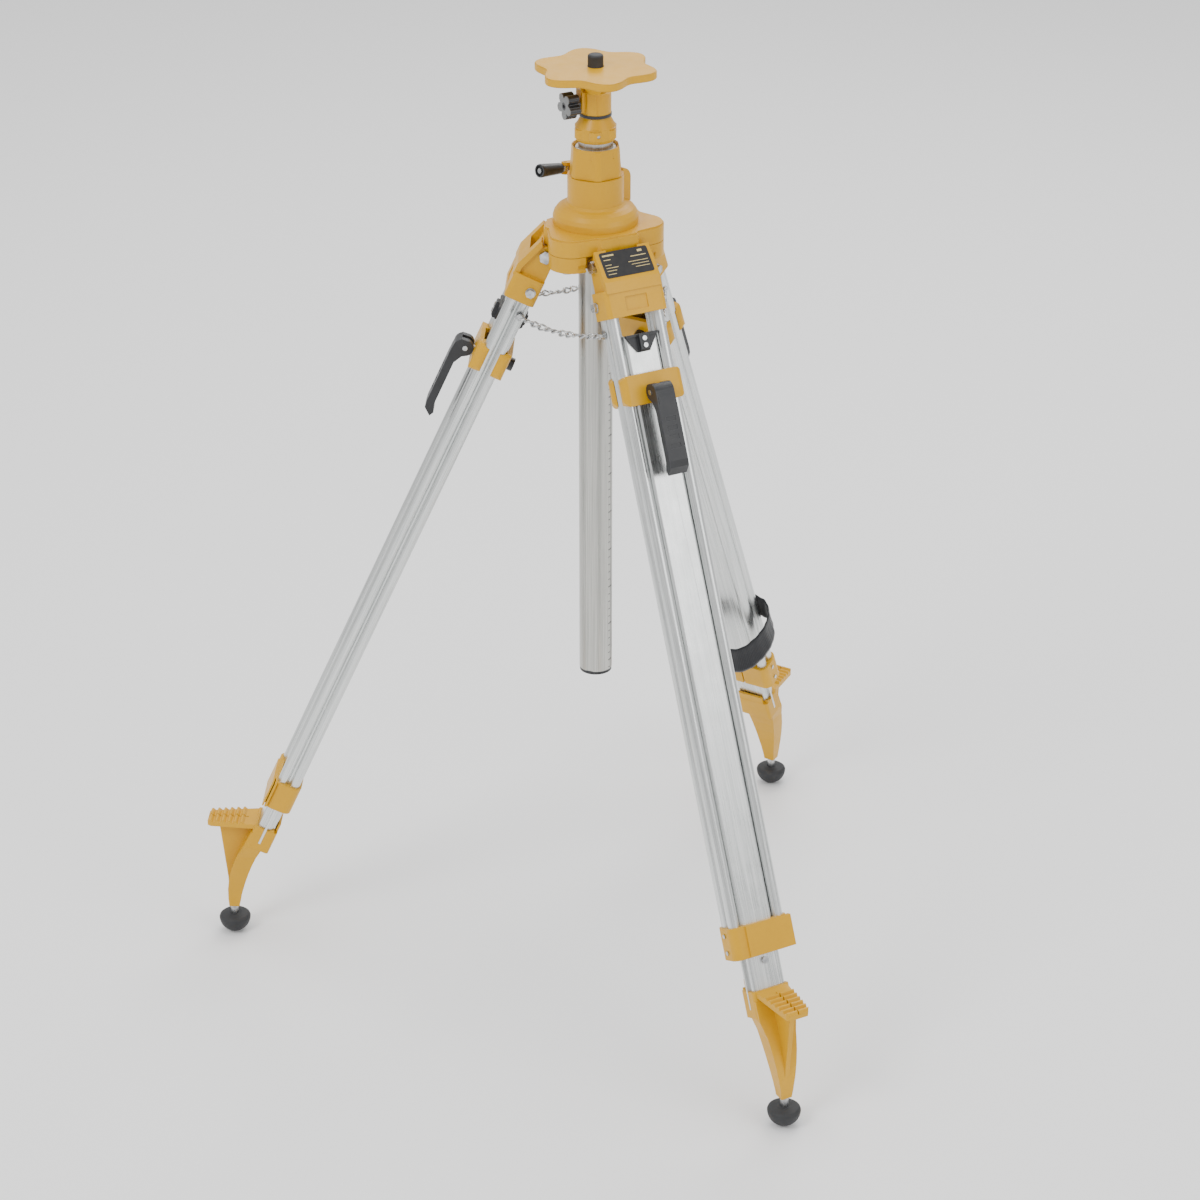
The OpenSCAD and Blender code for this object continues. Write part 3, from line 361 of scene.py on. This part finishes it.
def fixing_steel(leg):
    """Plated fixings of one sliding leg; the round nut on its inner side is black."""
    m = Mat("fixings_" + leg, roughness=0.28, metallic=1.0, base=srgb(190, 192, 194))
    a = m.noise(150.0, 4.0)
    face = tuple(LEG_M[leg].to_3x3() @ Vector((-1, 0, 0)))
    nut = m.math("GREATER_THAN", m.along(tuple(LEG_M[leg].translation), face), 0.0135)
    steel = m.mix(m.ramp(a, 0.35, 0.7), srgb(205, 206, 206), srgb(150, 152, 154))
    m.set("Base Color", m.mix(nut, steel, srgb(32, 33, 35)))
    m.set("Metallic", m.math("SUBTRACT", 1.0, nut))
    m.set("Roughness", m.ramp(a, 0.3, 0.7, 0.2, 0.4))
    m.bump(m.noise(1300.0), 0.05, 0.0002, rounded=0.0003)
    return m


def webbing():
    """Woven black webbing: fine ribs across, and lint."""
    m = Mat("black_webbing", roughness=0.85, base=srgb(26, 27, 30), specular=0.25)
    u, v, _ = m.split(m.add("ShaderNodeTexCoord").outputs["UV"])
    ribs = m.math("PINGPONG", u, 0.0011)
    weft = m.math("PINGPONG", v, 0.0008)
    weave = m.math("ADD", m.math("MULTIPLY", ribs, 600.0), m.math("MULTIPLY", weft, 500.0))
    lint = m.noise(420.0, 5.0)
    col = m.mix(m.ramp(weave, 0.1, 0.9), srgb(18, 19, 21), srgb(42, 43, 47))
    m.set("Base Color", m.mix(m.ramp(lint, 0.62, 0.8, 0.0, 0.5), col, srgb(74, 75, 78)))
    m.set("Sheen Weight", 0.35)
    m.set("Roughness", m.ramp(lint, 0.3, 0.7, 0.78, 0.92))
    m.bump(m.math("ADD", weave, m.math("MULTIPLY", lint, 0.5)), 0.5, 0.0004)
    return m


YELLOW = cast_yellow()
STEEL = plated_steel()
BLACK = black_plastic()
RUBBER = rubber()
NYLON = nylon()
BRONZE = bronze()
LIGHT_AL, DARK_AL = srgb(236, 237, 236), srgb(186, 190, 189)
TUBE = column_alloy()
LEG_AL = {leg: alloy("leg_alloy_" + leg, LEG_M[leg], LIGHT_AL, DARK_AL, 0.27) for leg in LEGS}
STAR = star_plastic()
GRIP = grip_plastic()
WEB = webbing()

plain = {
    "head_plate": YELLOW, "head_washer": BLACK, "instrument_stud": STEEL, "thread_cap": RUBBER,
    "star_knob": STAR, "star_screw": STEEL, "column_head": YELLOW, "column_tube": TUBE,
    "gear_rack": STEEL, "column_pins": STEEL, "column_end_plug": BLACK, "column_lock_ring": YELLOW,
    "column_collet": NYLON, "column_bush": NYLON, "gear_housing": YELLOW, "crank_bushes": BRONZE,
    "pinion_shaft": STEEL, "crank_arm": YELLOW, "grip_spindle": STEEL, "crank_grip": GRIP,
    "hub_upper_casting": YELLOW, "hub_lower_casting": YELLOW, "hub_bolts": STEEL,
    "leg_chains": STEEL, "closing_strap": WEB,
}
for leg in LEGS:
    plain.update({
        "leg_head_" + leg: YELLOW, "leg_rails_" + leg: LEG_AL[leg], "leg_collar_" + leg: YELLOW,
        "leg_bolts_" + leg: STEEL, "inner_leg_" + leg: LEG_AL[leg], "guide_blocks_" + leg: BLACK,
        "clamp_plates_" + leg: YELLOW, "slide_fixings_" + leg: fixing_steel(leg), "clamp_lever_" + leg: BLACK,
        "foot_casting_" + leg: YELLOW, "rubber_foot_" + leg: RUBBER})
for name, mat in plain.items():
    paint(NODES[name], mat)

# ------------------------------------------------------------------ pieces modelled here
def add_mesh(name, verts, faces, mat, smooth=True):
    mesh = bpy.data.meshes.new(name)
    mesh.from_pydata([tuple(v) for v in verts], [], faces)
    mesh.validate()
    bm = bmesh.new()
    bm.from_mesh(mesh)
    bmesh.ops.recalc_face_normals(bm, faces=bm.faces)
    bm.to_mesh(mesh)
    bm.free()
    for poly in mesh.polygons:
        poly.use_smooth = smooth
    obj = bpy.data.objects.new(name, mesh)
    bpy.context.collection.objects.link(obj)
    paint(obj, mat)
    return obj


def loop_tube(points, radius, sides=8):
    """Closed tube along a closed run of points."""
    n = len(points)
    verts, faces = [], []
    for i, p in enumerate(points):
        t = (points[(i + 1) % n] - points[i - 1]).normalized()
        middle = sum(points, Vector()) / n
        out = (p - middle)
        out = (out - out.dot(t) * t).normalized()
        side = t.cross(out)
        for k in range(sides):
            a = 2 * math.pi * k / sides
            verts.append(p + radius * (math.cos(a) * out + math.sin(a) * side))
    for i in range(n):
        j = (i + 1) % n
        for k in range(sides):
            m = (k + 1) % sides
            faces.append((i * sides + k, i * sides + m, j * sides + m, j * sides + k))
    return verts, faces


def leg_point(az, x, y, s):
    return leg_matrix(az) @ Vector((x, y, -s))


CHAIN_X, CHAIN_Y, CHAIN_S, CHAIN_DROP = LEG_X - 0.0075, 0.0395, 0.0785, 0.008
WIRE, LINK_L, LINK_W = 0.00125, 0.0140, 0.0098


def twisted_link(centre, along, roll):
    """One link of a twist-link chain, turned a quarter over its length."""
    t = along.normalized()
    side = t.cross(Vector((0, 0, 1))).normalized()
    up = side.cross(t)
    half, wide = LINK_L / 2 - WIRE, LINK_W / 2 - WIRE
    run = []
    for k in range(28):
        a = 2 * math.pi * k / 28
        x = half * math.copysign(abs(math.cos(a)) ** 0.8, math.cos(a))
        y = wide * math.copysign(abs(math.sin(a)) ** 0.8, math.sin(a))
        turn = roll + math.radians(45) * x / half
        run.append(centre + x * t + y * (math.cos(turn) * side + math.sin(turn) * up))
    return loop_tube(run, WIRE)


def chain(name, leg_a, leg_b):
    """A sagging chain between two legs, built in two halves."""
    a = leg_point(LEGS[leg_a], CHAIN_X, CHAIN_Y, CHAIN_S)
    b = leg_point(LEGS[leg_b], CHAIN_X, -CHAIN_Y, CHAIN_S)

    def at(u):
        p = a.lerp(b, u)
        p.z -= 4 * CHAIN_DROP * u * (1 - u)
        return p

    steps = 400
    length = [0.0]
    for i in range(steps):
        length.append(length[-1] + (at((i + 1) / steps) - at(i / steps)).length)
    pitch = LINK_L - 3.2 * WIRE
    count = 2 * max(4, round(length[-1] / pitch / 2))

    def place(d):
        i = next((k for k, v in enumerate(length) if v >= d), steps)
        return at(i / steps)

    halves = ([], []), ([], [])
    for i in range(count):
        d = (i + 0.5) * length[-1] / count
        c = place(d)
        t = place(min(d + 0.003, length[-1])) - place(max(d - 0.003, 0))
        verts, faces = twisted_link(c, t, math.radians(28 * math.sin(i * 1.7)))
        hv, hf = halves[0 if i < count / 2 else 1]
        base = len(hv)
        hv.extend(verts)
        hf.extend([tuple(base + v for v in f) for f in faces])
    middle = at(0.5)
    for (hv, hf), leg, end, tag in ((halves[0], leg_a, a, "_a"), (halves[1], leg_b, b, "_b")):
        obj = add_mesh(name + tag, hv, hf, STEEL)
        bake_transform(obj)
        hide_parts("leg_chains")


chain("chain_left_front", "left", "front")
chain("chain_front_rear", "front", "rear")
chain("chain_rear_left", "rear", "left")


STRAP_W, STRAP_T, STRAP_S, STRAP_TILT = 0.038, 0.0022, 0.700, 0.020


def strap_mid(a):
    """Middle line of the loop, in the rear leg's frame."""
    c, s = math.cos(a), math.sin(a)
    k = 0.5 if c > 0 else 0.9
    x = (0.0280 if c > 0 else 0.046) * math.copysign(abs(c) ** k, c)
    y = 0.055 * math.copysign(abs(s) ** k, s)
    return Vector((x - 0.004, y, 0))


def closing_strap():
    """A slack endless loop of webbing round the rear leg, with no lap or buckle."""
    n, rows, half, thick = 144, 10, STRAP_W / 2, STRAP_T / 2
    ring, total = [], 0.0
    for i in range(n):
        a = 2 * math.pi * i / n
        m = strap_mid(a)
        d = (strap_mid(a + 0.02) - strap_mid(a - 0.02)).normalized()
        out = Vector((d.y, -d.x, 0))
        z = -STRAP_S + STRAP_TILT * math.cos(a)
        lean = 0.09 - 0.16 * math.cos(a)
        width = Vector((-lean * out.x, -lean * out.y, 1)).normalized()
        ring.append((Vector((m.x, m.y, z)), out, width))
        total += (strap_mid(a + 2 * math.pi / n) - m).length
    verts, faces, uvs = [], [], []
    per = 2 * (rows + 1)
    for i, (p, out, width) in enumerate(ring):
        wave = 0.0007 * math.sin(i * 0.31) + 0.0004 * math.sin(i * 0.83 + 1)
        for side in (1, -1):
            for r in range(rows + 1):
                v = (r / rows * 2 - 1) * side
                hem = 0.35 if abs(v) > 0.99 else 1.0
                curl = 0.0012 * (v * v - 0.4)
                verts.append(p + out * (side * thick * hem + wave + curl) + width * half * v)
                uvs.append((total * i / n, half * v))
    for i in range(n):
        j = (i + 1) % n
        for k in range(per):
            m = (k + 1) % per
            faces.append((i * per + k, j * per + k, j * per + m, i * per + m))
    verts = [LEG_M["rear"] @ v for v in verts]
    obj = add_mesh("closing_strap_web", verts, faces, WEB)
    layer = obj.data.uv_layers.new(name="weave")
    for loop in obj.data.loops:
        layer.data[loop.index].uv = uvs[loop.vertex_index]
    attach(obj, "upper_leg_rear")
    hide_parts("closing_strap")


closing_strap()


def on_face(u, v, lift):
    """Point on the sloping face of the front leg's head: u across, v down the slope."""
    slope = Vector((0.3389, 0, -0.9408))
    normal = Vector((0.9408, 0, 0.3389))
    p = Vector((0.0132, 0, 0.0162)) + slope * v + normal * lift + Vector((0, u, 0))
    return LEG_M["front"] @ p


def face_plate(name, u0, u1, v0, v1, low, high, corner, mat):
    """A thin rounded plate on that face."""
    edge = []
    for cu, cv, start in ((u1 - corner, v1 - corner, 0), (u0 + corner, v1 - corner, 90),
                          (u0 + corner, v0 + corner, 180), (u1 - corner, v0 + corner, 270)):
        for k in range(7):
            a = math.radians(start + 15 * k)
            edge.append((cu + corner * math.cos(a), cv + corner * math.sin(a)))
    n = len(edge)
    inset = 0.00012
    cu, cv = (u0 + u1) / 2, (v0 + v1) / 2
    rings = [(0, low), (0, high - inset), (inset, high)]
    verts = []
    for shrink, lift in rings:
        for u, v in edge:
            verts.append(on_face(u - math.copysign(shrink, u - cu), v - math.copysign(shrink, v - cv), lift))
    faces = [tuple(range(n))[::-1], tuple(range(2 * n, 3 * n))]
    for r in range(2):
        for i in range(n):
            j = (i + 1) % n
            faces.append((r * n + i, r * n + j, (r + 1) * n + j, (r + 1) * n + i))
    obj = add_mesh(name, verts, faces, mat, smooth=False)
    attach(obj, "upper_leg_front")
    return obj


def label():
    """Black label plate whose print is left as plain bars."""
    plate = Mat("label_black", roughness=0.3, base=srgb(22, 22, 24), coat=0.3)
    plate.set("Base Color", plate.mix(plate.ramp(plate.noise(160.0), 0.3, 0.7), srgb(20, 20, 22), srgb(34, 33, 33)))
    plate.bump(plate.noise(1200.0), 0.08, 0.0002)
    ink = Mat("label_ink", roughness=0.4, base=srgb(214, 190, 120))
    ink.set("Base Color", ink.mix(ink.ramp(ink.noise(900.0), 0.35, 0.6), srgb(190, 170, 112), srgb(226, 205, 140)))
    obj = face_plate("label_plate", -0.031, 0.031, 0.0028, 0.0350, 0.0, 0.00045, 0.0028, plate)
    bars = ((-0.0275, -0.0130, 0.0062, 0.0082), (0.0175, 0.0235, 0.0060, 0.0088), (-0.0275, -0.0185, 0.0120, 0.0130),
            (0.0070, 0.0270, 0.0126, 0.0136), (-0.0275, -0.0195, 0.0186, 0.0194), (0.0020, 0.0275, 0.0190, 0.0197),
            (-0.0275, -0.0120, 0.0222, 0.0230), (0.0050, 0.0275, 0.0226, 0.0233), (-0.0275, -0.0150, 0.0258, 0.0266),
            (-0.0275, -0.0170, 0.0300, 0.0308), (0.0090, 0.0275, 0.0262, 0.0269))
    for i, (u0, u1, v0, v1) in enumerate(bars):
        bar = face_plate(f"label_bar_{i:02d}", u0, u1, v0, v1, 0.0004, 0.00056, 0.0002, ink)


label()

# ------------------------------------------------------------------ stage, light and camera
def stage_floor():
    mesh = bpy.data.meshes.new("floor")
    bm = bmesh.new()
    bmesh.ops.create_grid(bm, x_segments=1, y_segments=1, size=30)
    bm.to_mesh(mesh)
    obj = bpy.data.objects.new("floor", mesh)
    obj.location = (0, 0, -SEAT_H - 0.0002)
    bpy.context.collection.objects.link(obj)
    m = Mat("floor", roughness=0.8, base=(0.93, 0.93, 0.93, 1), specular=0.1)
    paint(obj, m)


AIM = Vector((0, 0, -0.5))


def area(name, where, size, power):
    lamp = bpy.data.lights.new(name, "AREA")
    lamp.shape = "RECTANGLE"
    lamp.size, lamp.size_y = size
    lamp.energy = power
    obj = bpy.data.objects.new(name, lamp)
    obj.location = where
    obj.rotation_euler = (AIM - Vector(where)).to_track_quat("-Z", "Y").to_euler()
    bpy.context.collection.objects.link(obj)


stage_floor()
area("key", (-2.4, -2.6, 2.4), (1.6, 1.6), 85)
area("fill", (3.0, -2.0, 1.2), (2.0, 2.0), 36)
area("back", (0.8, 3.0, 2.2), (3.0, 1.6), 70)
area("top", (0, 0.2, 3.4), (2.6, 2.6), 75)
world = bpy.data.worlds.new("studio")
bpy.context.scene.world = world
world.use_nodes = True
world.node_tree.nodes["Background"].inputs[0].default_value = (1, 1, 1, 1)
world.node_tree.nodes["Background"].inputs[1].default_value = 0.9

SENSOR_MM, LENS_MM = 36, 96.165
cam_data = bpy.data.cameras.new("camera")
cam_data.sensor_width = SENSOR_MM
cam_data.lens = LENS_MM
cam_data.clip_end = 60
cam = bpy.data.objects.new("camera", cam_data)
yaw, pitch, roll = math.radians(-1.64), math.radians(26.64), math.radians(0.02)
cam.location = (0.1055, -3.501, 2.239 - SEAT_H)
fwd = Vector((math.sin(yaw) * math.cos(pitch), math.cos(yaw) * math.cos(pitch), -math.sin(pitch)))
right = Vector((math.cos(yaw), -math.sin(yaw), 0))
up = right.cross(fwd)
right, up = (math.cos(roll) * right + math.sin(roll) * up, -math.sin(roll) * right + math.cos(roll) * up)
cam.rotation_euler = Matrix((right, up, -fwd)).transposed().to_euler()
bpy.context.collection.objects.link(cam)
bpy.context.scene.camera = cam
